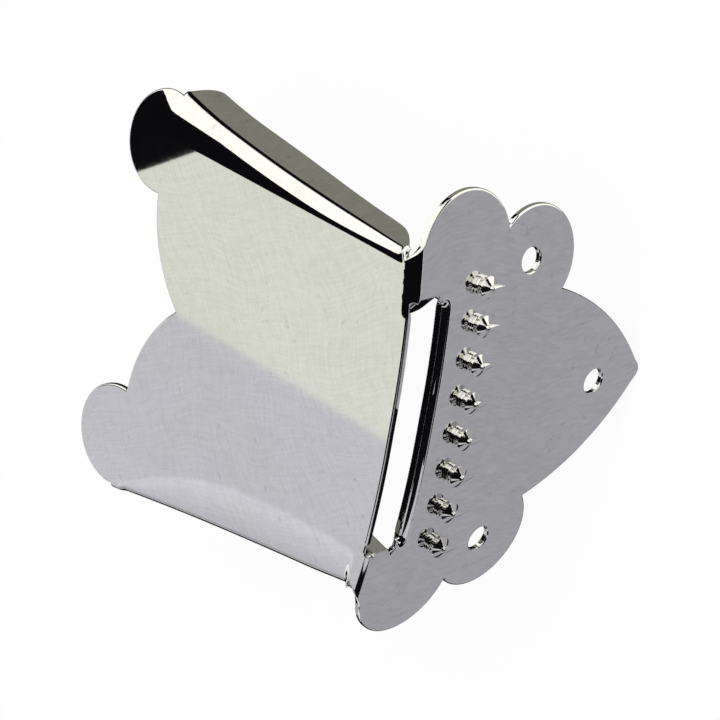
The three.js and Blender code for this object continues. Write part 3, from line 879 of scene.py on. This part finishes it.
pin_profile = [(0, -SHEET - TAIL_RISE)]
for k in range(1, TAIL_STEPS + 1):
    share = k / TAIL_STEPS
    pin_profile.append((TAIL_RADIUS * share, -SHEET - TAIL_RISE * (1 - share**2)))
foot = FLANGE_RADIUS - FOOT_ROUND
pin_profile += [(POST_RADIUS, -SHEET / 2), (POST_RADIUS, -FOOT_SINK), (foot, -FOOT_SINK)]
pin_profile += round_arc(foot, FOOT_ROUND - FOOT_SINK, FOOT_ROUND, -90, 0, ROUND_STEPS // 2)
collar_shoulder = FLANGE_HEIGHT - COLLAR_ROUND
pin_profile += round_arc(FLANGE_RADIUS - COLLAR_ROUND, collar_shoulder, COLLAR_ROUND, 0, 90)
neck = (POST_RADIUS + NECK_ROUND, FLANGE_HEIGHT + NECK_ROUND)
pin_profile += round_arc(*neck, NECK_ROUND, 270, 180)
pin_profile += [(POST_RADIUS, HEAD_LEVEL - HEAD_UNDER)]
edge_radius = HEAD_EDGE / 2
pin_profile += round_arc(
    HEAD_RADIUS - edge_radius, HEAD_LEVEL - edge_radius, edge_radius, *HEAD_EDGE_TURN
)
apex, slope = HEAD_LEVEL + HEAD_RISE, HEAD_RISE / HEAD_RADIUS
pin_profile += [(r, apex - slope * r) for r in (*CONE_RINGS, APEX_RADIUS)]
for r in (APEX_RADIUS * 2 / 3, APEX_RADIUS / 3, 0):
    pin_profile.append((r, apex - slope * (APEX_RADIUS / 2 + r * r / (2 * APEX_RADIUS))))

beak_profile = [(0, -BEAK_RADIUS), *round_arc(0, 0, BEAK_RADIUS, AXIS_TURN - 90, -AXIS_TURN)]
beak_end = BEAK_LENGTH - BEAK_TIP_RADIUS
for k in range(BEAK_STEPS):
    share = k / BEAK_STEPS
    swell = BEAK_RADIUS + (BEAK_TIP_RADIUS - BEAK_RADIUS) * share**BEAK_SWELL_POWER
    beak_profile.append((swell, beak_end * share))
beak_profile += round_arc(
    0, beak_end, BEAK_TIP_RADIUS, AXIS_TURN, 90 - AXIS_TURN, BEAK_TIP_STEPS
)
beak_profile += [(0, BEAK_LENGTH)]

out_of_plate = Matrix.Rotation(QUARTER, 4, "X")
pin = turned(pin_profile, out_of_plate)
point_down = Matrix.Rotation(math.pi - BEAK_LIFT, 4, "X")
beak = turned(beak_profile, Matrix.Translation((0, -BEAK_LEVEL, 0)) @ point_down)
union = pin.modifiers.new("union", "BOOLEAN")
union.operation = "UNION"
union.object = beak
union.solver = "EXACT"
hook_mesh = made_real(pin, beak)
hook_mesh.transform(Matrix.Scale(MM, 4))
hook = placed("one_hook", hook_mesh)
print(f"one hook: {len(hook_mesh.polygons)} faces")

# %% [markdown]
# ## Eight hooks in a row
#
# The hooks repeat at an even pitch along the rolled plate, so a node tree places them. It makes
# one point for each hook, moves the points along the roll by the same rule as the plate's, turns
# each hook square to the plate there, and puts a copy of the pin on it. Changing the number or
# the pitch changes the row, which a copy and paste would not do. The copies are made real at the
# end, because an export leaves instances out.

# %% The tree that sets the row
HOOK_COUNT = 8
HOOK_PITCH = 5.0
HOOK_LEVEL = 9.0
SHARP_ANGLE = math.radians(40)


def hook_row_tree():
    """The node tree, and the names by which a modifier knows its inputs."""
    tree = bpy.data.node_groups.new("hook_row", "GeometryNodeTree")
    calc = partial(math_node, tree)
    kinds = {"Hook": "Object", "Count": "Int", "Pitch": "Float", "Level": "Float",
             "Flat half": "Float", "Plate radius": "Float", "Front": "Float",
             "Plating": "Material"}
    sockets = {
        name: tree.interface.new_socket(name, in_out="INPUT", socket_type="NodeSocket" + kind)
        for name, kind in kinds.items()
    }
    tree.interface.new_socket("Row", in_out="OUTPUT", socket_type="NodeSocketGeometry")
    given = add(tree, "NodeGroupInput").outputs
    line = add(tree, "GeometryNodeMeshLine", Count=given["Count"])
    index = add(tree, "GeometryNodeInputIndex").outputs["Index"]
    last = calc("SUBTRACT", given["Count"], 1.0)
    steps = calc("SUBTRACT", index, calc("MULTIPLY", last, 0.5))
    across = calc("MULTIPLY", steps, given["Pitch"])
    side = calc("SIGN", across)
    reach = calc("ABSOLUTE", across)
    past = calc("MAXIMUM", calc("SUBTRACT", reach, given["Flat half"]), 0.0)
    turn = calc("DIVIDE", past, given["Plate radius"])
    rolled = calc("MULTIPLY", calc("SINE", turn), given["Plate radius"])
    flat = calc("MINIMUM", reach, given["Flat half"])
    x = calc("MULTIPLY", calc("ADD", flat, rolled), side)
    sag = calc("SUBTRACT", 1.0, calc("COSINE", turn))
    depth = calc("MULTIPLY", sag, given["Plate radius"])
    y = calc("SUBTRACT", depth, given["Front"])
    place = add(tree, "ShaderNodeCombineXYZ", X=x, Y=y, Z=given["Level"])
    put = add(tree, "GeometryNodeSetPosition", Geometry=line.outputs["Mesh"],
              Position=place.outputs["Vector"])
    square = add(tree, "ShaderNodeCombineXYZ", Z=calc("MULTIPLY", turn, side))
    source = add(tree, "GeometryNodeObjectInfo", Object=given["Hook"])
    copies = add(tree, "GeometryNodeInstanceOnPoints", Points=put.outputs["Geometry"],
                 Instance=source.outputs["Geometry"], Rotation=square.outputs["Vector"])
    real = add(tree, "GeometryNodeRealizeInstances", Geometry=copies.outputs["Instances"])
    plated = add(tree, "GeometryNodeSetMaterial", Geometry=real.outputs["Geometry"],
                 Material=given["Plating"])
    add(tree, "NodeGroupOutput", Row=plated.outputs["Geometry"])
    return tree, {n: s.identifier for n, s in sockets.items()}


row_tree, row_inputs = hook_row_tree()
print("inputs of the row:", ", ".join(row_inputs))

# %% Setting the row
carrier = placed("hook_row_carrier", bpy.data.meshes.new("carrier"))
row = carrier.modifiers.new("row", "NODES")
row.node_group = row_tree
for name, value in {
    "Hook": hook, "Count": HOOK_COUNT, "Pitch": HOOK_PITCH * MM, "Level": HOOK_LEVEL * MM,
    "Flat half": FLAT_HALF * MM, "Plate radius": PLATE_RADIUS * MM, "Front": SHEET * MM,
    "Plating": plated_hook,
}.items():
    row[row_inputs[name]] = value
row_mesh = made_real(carrier, hook)
hooks = placed("string_hooks", row_mesh)
row_mesh.polygons.foreach_set("use_smooth", [True] * len(row_mesh.polygons))
row_mesh.set_sharp_from_angle(angle=SHARP_ANGLE)
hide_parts(*[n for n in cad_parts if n.startswith("string_hook_")])
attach(hooks, "root")
print(f"hooks: {len(row_mesh.polygons)} faces, {len(row_mesh.vertices)} points")

# %% [markdown]
# ## Camera
#
# The camera stands where the photograph was taken from, about 60 cm away with a long lens, above
# and to the right of the hooks, and it is turned on its side, so that the plate's point lies to
# the right. Its three axes were fitted to the hooks, the holes and the outline.

# %% Camera
CAMERA_RIGHT = Vector((0.1616, -0.7078, -0.6877))
CAMERA_UP = Vector((0.9085, 0.3788, -0.1764))
CAMERA_PLACE = Vector((234.8, -345.85, 437.4)) * MM
IMAGE_SIDE = 720
FOCUS = 4877.8
SENSOR = 36
NEAR_CLIP = 0.05

camera = placed("camera", bpy.data.cameras.new("camera"))
scene.camera = camera
camera.data.sensor_width = SENSOR
camera.data.lens = FOCUS * SENSOR / IMAGE_SIDE
right = CAMERA_RIGHT.normalized()
back = right.cross(CAMERA_UP).normalized()
axes = Matrix((right, back.cross(right), back)).transposed()
camera.matrix_world = Matrix.Translation(CAMERA_PLACE) @ axes.to_4x4()
camera.data.clip_start = NEAR_CLIP
print(f"lens {camera.data.lens:.0f} mm, {CAMERA_PLACE.length:.2f} m away")

# %% [markdown]
# ## What the plating mirrors
#
# A polished part has hardly any look of its own: it shows its surroundings. A photographer
# builds these from cards just outside the picture. The flat cover mirrors a place above and
# behind the part, where a warm card and a cool one meet, and their seam shows as the straight line
# along the cover. A black card beside them makes the wide right fold and the lobe behind it
# black, and a bright one makes the white band along that fold. The cool card grows brighter and
# darker again towards the left, and the soft left crown draws that out into a pale crescent.
#
# The plate mirrors the floor in front of it. Most of that is an even grey. Past its edges the
# floor is bright or black, which the round rims pick up as thin lines. The cards are seen by
# reflections alone. They stand beside the part as scenery and throw no light.

# %% Kinds of card
def glowing(name, colour):
    """A material of one even light."""
    material, tree = node_material(name)
    tree.nodes.clear()
    light = add(tree, "ShaderNodeEmission", Color=(*colour, 1), Strength=1)
    add(tree, "ShaderNodeOutputMaterial", Surface=light.outputs["Emission"])
    return material


def card(name, corners, material):
    """A flat card that only reflections see, from corners in millimetres."""
    mesh = bpy.data.meshes.new(name)
    places = [tuple(c * MM for c in corner) for corner in corners]
    mesh.from_pydata(places, [], [tuple(range(len(corners)))])
    mesh.materials.append(material)
    made = placed(name, mesh)
    for ray in ("camera", "diffuse", "shadow", "transmission", "volume_scatter"):
        setattr(made, "visible_" + ray, False)


def level_card(name, level, near, far, material):
    """A level card between two corners, each a place across and back."""
    (x0, y0), (x1, y1) = near, far
    card(name, [(x, y, level) for x, y in ((x0, y0), (x1, y0), (x1, y1), (x0, y1))], material)


WARM = glowing("warm_card", (0.835, 0.845, 0.755))
COOL = (0.645, 0.635, 0.69)
BLACK = glowing("black_card", (0.004, 0.004, 0.005))
BRIGHT = glowing("bright_card", (1.3, 1.28, 1.2))
# The part's shadow on the floor behind it, painted as a grey that the right wall mirrors
PAINTED_SHADOW_GREY = glowing("painted_shadow_grey_card", (0.235, 0.235, 0.2))
FRONT_LIGHT = glowing("front_light_card", (0.62, 0.61, 0.65))
LEFT_GREY = glowing("left_grey_card", (0.42, 0.41, 0.44))
PLATE_GREY = glowing("plate_grey_card", (0.405, 0.405, 0.435))
print("kinds of card:", ", ".join(m.name for m in bpy.data.materials if m.name.endswith("_card")))

# %% Cards above
# The ceiling is one plane. These are the lines across it and back where one card ends and the
# next begins, and how far out the last cards reach.
CEILING = 300
REACH = 900
SEAM = -169
CROWN_SEAM = -127
BLACK_END = 70
NEAR_EDGE = 235
FRONT_SEAM = -150
FAR_SEAM = -282

# The cool card's brightness at places across: it is made of strips, narrow ones near the seam
COOL_PLACES = (-900, -600, -440, -320, -235, -205, -169)
COOL_SHARES = (0.82, 0.93, 1.02, 1.1, 1.17, 1.0, 1.0)
STRIPS = 40
STRIP_POWER = 1.7

cool_ends = SEAM - (REACH + SEAM) * np.linspace(0, 1, STRIPS + 1) ** STRIP_POWER
for k, (low, end) in enumerate(zip(cool_ends[:-1], cool_ends[1:])):
    share = np.interp((low + end) / 2, COOL_PLACES, COOL_SHARES)
    material = glowing(f"cool_card_{k}", [c * share for c in COOL])
    level_card(f"cool_ceiling_{k}", CEILING, (end, NEAR_EDGE), (low, REACH), material)
for name, near, far, material in (
    ("warm_ceiling", (SEAM, NEAR_EDGE), (CROWN_SEAM, REACH), WARM),
    ("black_ceiling", (CROWN_SEAM, NEAR_EDGE), (BLACK_END, REACH), BLACK),
    ("black_front", (FRONT_SEAM, -REACH), (BLACK_END, NEAR_EDGE), BLACK),
    ("light_front", (FAR_SEAM, -REACH), (FRONT_SEAM, NEAR_EDGE), FRONT_LIGHT),
    ("black_far_ceiling", (-REACH, -REACH), (FAR_SEAM, 0), BLACK),
    ("light_far_ceiling", (-REACH, 0), (FAR_SEAM, NEAR_EDGE), FRONT_LIGHT),
):
    level_card(name, CEILING, near, far, material)
print(f"ceiling: {STRIPS} cool strips, seam at {SEAM} mm")

# %% Cards in front and at the sides
CARD_LIFT = 0.2
FLOOR_CARDS = POINT_LEVEL + CARD_LIFT
FRONT = -300
FRONT_NEARER = FRONT + 1
FRONT_FAR_SEAM = -222
BRIGHT_FRONT = -200
WINDOW_FLAG = (18.6, (-18, -14), (2, -1))


def upright_card(name, left, right, material):
    """An upright card across the front, from the floor to the ceiling."""
    low, high = FLOOR_CARDS, CEILING
    card(name, [(x, FRONT, z) for x, z in ((left, low), (right, low), (right, high), (left, high))],
         material)


upright_card("black_low_front", FRONT_SEAM, BLACK_END, BLACK)
upright_card("light_low_front", FRONT_FAR_SEAM, FRONT_SEAM, FRONT_LIGHT)
# Its slanted edge lets the bend at the left ear turn black towards its end
card("black_far_front", [(x, FRONT_NEARER, z) for x, z in (
    (-REACH, FLOOR_CARDS), (FRONT_FAR_SEAM, FLOOR_CARDS), (FAR_SEAM, CEILING), (-REACH, CEILING),
)], BLACK)
upright_card("grey_far_front", -REACH, FRONT_FAR_SEAM, FRONT_LIGHT)
# A small black flag before the window darkens the turned-in rim
level_card("window_flag", *WINDOW_FLAG, BLACK)
for name, top, foot, near, material in (
    ("bright_side", BLACK_END, REACH, BRIGHT_FRONT, BRIGHT),
    ("left_side", -REACH, -REACH, NEAR_EDGE, LEFT_GREY),
):
    card(name, [(top, near, CEILING), (top, REACH, CEILING),
                (foot, REACH, FLOOR_CARDS), (foot, near, FLOOR_CARDS)], material)
print(f"front cards {-FRONT} mm away")

# %% Cards on the floor
# Where the grey in front of the plate ends: left, right, in front, and the bright line past that
GREY_LEFT, GREY_RIGHT, GREY_FRONT, LINE_FRONT = -60, 26, -58, -62
# Close to the plate the left part is dark up to these lines
DARK_RIGHT, DARK_FRONT = -15, -7
# Behind the plate, and the corner of grey there that the right wall mirrors: the part's shadow on
# the floor, painted as a grey card
UNDER_LEFT, BACK_LEFT, BACK_RIGHT = -300, 20, 450
WALL_CORNER = (186, 208)

for name, near, far, material in (
    ("grey_front_floor", (GREY_LEFT, GREY_FRONT), (GREY_RIGHT, DARK_FRONT), PLATE_GREY),
    ("grey_near_floor", (DARK_RIGHT, DARK_FRONT), (GREY_RIGHT, 0), PLATE_GREY),
    ("grey_left_floor", (-REACH, FRONT), (GREY_LEFT, DARK_FRONT), PLATE_GREY),
    ("dark_left_floor", (-REACH, DARK_FRONT), (DARK_RIGHT, 0), BLACK),
    ("light_right_floor", (GREY_RIGHT, GREY_FRONT), (REACH, 0), BRIGHT),
    ("light_front_floor", (GREY_LEFT, LINE_FRONT), (REACH, GREY_FRONT), BRIGHT),
    ("black_front_floor", (GREY_LEFT, FRONT), (REACH, LINE_FRONT), BLACK),
):
    level_card(name, FLOOR_CARDS, near, far, material)
# Painted shadow: a grey triangle behind the plate, where the part shades the floor
card("grey_back_floor", [
    (x, y, FLOOR_CARDS + CARD_LIFT)
    for x, y in ((BACK_LEFT, 0), (WALL_CORNER[0], 0), (BACK_LEFT, WALL_CORNER[1]))
], PAINTED_SHADOW_GREY)
level_card("black_back_floor", FLOOR_CARDS, (BACK_LEFT, 0), (BACK_RIGHT, REACH), BLACK)
# Painted shade: the floor under and behind the part is a black card, which the cover's underside
# mirrors
level_card("dark_under_floor", FLOOR_CARDS, (UNDER_LEFT, 0), (BACK_LEFT, REACH), BLACK)

# %% [markdown]
# ## Floor, lights and backdrop
#
# The floor is plain and pale. The camera sees it and the backdrop as white, as in a cut-out
# product picture, through the Light Path node, while the floor still takes the part's shadow. A
# large soft lamp and an even world light the two at a plain level.

# %% Floor and light
FLOOR_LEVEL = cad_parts["tail_bracket"].bound_box[0][2]
FLOOR_COLOUR = (0.82, 0.82, 0.83)
FLOOR_ROUGHNESS = 0.9
FLOOR_HALF = 3
WHITE_SHARE = 0.94
SOFT_COLOUR = (0.97, 0.97, 1)
SOFT_STRENGTH = 0.6
LAMP_PLACE = (0.35, -0.25, 0.75)
LAMP_SIZE = 0.5
LAMP_POWER = 5


def mixed(tree, share, first, second):
    """Two shaders mixed by a share of the second."""
    mix = add(tree, "ShaderNodeMixShader", Fac=share)
    tree.links.new(first.outputs[0], mix.inputs[1])
    tree.links.new(second.outputs[0], mix.inputs[2])
    return mix.outputs["Shader"]


floor_material, tree = node_material("pale_floor")
plain = tree.nodes["Principled BSDF"]
plain.inputs["Base Color"].default_value = (*FLOOR_COLOUR, 1)
plain.inputs["Roughness"].default_value = FLOOR_ROUGHNESS
plain.inputs["Specular IOR Level"].default_value = 0
rays = add(tree, "ShaderNodeLightPath").outputs
white = add(tree, "ShaderNodeEmission", Color=(1, 1, 1, 1))
seen = math_node(tree, "MULTIPLY", rays["Is Camera Ray"], WHITE_SHARE)
surface = mixed(tree, seen, plain, white)
tree.links.new(surface, tree.nodes["Material Output"].inputs["Surface"])

floor_mesh = bpy.data.meshes.new("floor")
floor_corners = [(x * FLOOR_HALF, y * FLOOR_HALF, FLOOR_LEVEL)
                 for x, y in ((-1, -1), (1, -1), (1, 1), (-1, 1))]
floor_mesh.from_pydata(floor_corners, [], [(0, 1, 2, 3)])
floor_mesh.materials.append(floor_material)
floor = placed("floor", floor_mesh)

world = bpy.data.worlds.new("studio")
scene.world = world
world.use_nodes = True
tree = world.node_tree
tree.nodes.clear()
rays = add(tree, "ShaderNodeLightPath").outputs
soft = add(tree, "ShaderNodeBackground", Color=(*SOFT_COLOUR, 1), Strength=SOFT_STRENGTH)
backdrop = add(tree, "ShaderNodeBackground", Color=(1, 1, 1, 1), Strength=1)
mirrored = math_node(tree, "MAXIMUM", rays["Is Glossy Ray"], rays["Is Transmission Ray"])
seen = math_node(tree, "MAXIMUM", rays["Is Camera Ray"], mirrored)
add(tree, "ShaderNodeOutputWorld", Surface=mixed(tree, seen, soft, backdrop))

lamp = placed("soft_lamp", bpy.data.lights.new("soft_lamp", "AREA"))
lamp.data.shape = "DISK"
lamp.data.size = LAMP_SIZE
lamp.data.energy = LAMP_POWER
lamp.location = LAMP_PLACE
lamp.rotation_euler = (-Vector(lamp.location)).to_track_quat("-Z", "Y").to_euler()
lamp.visible_glossy = False
print(f"floor at {FLOOR_LEVEL / MM:.1f} mm")
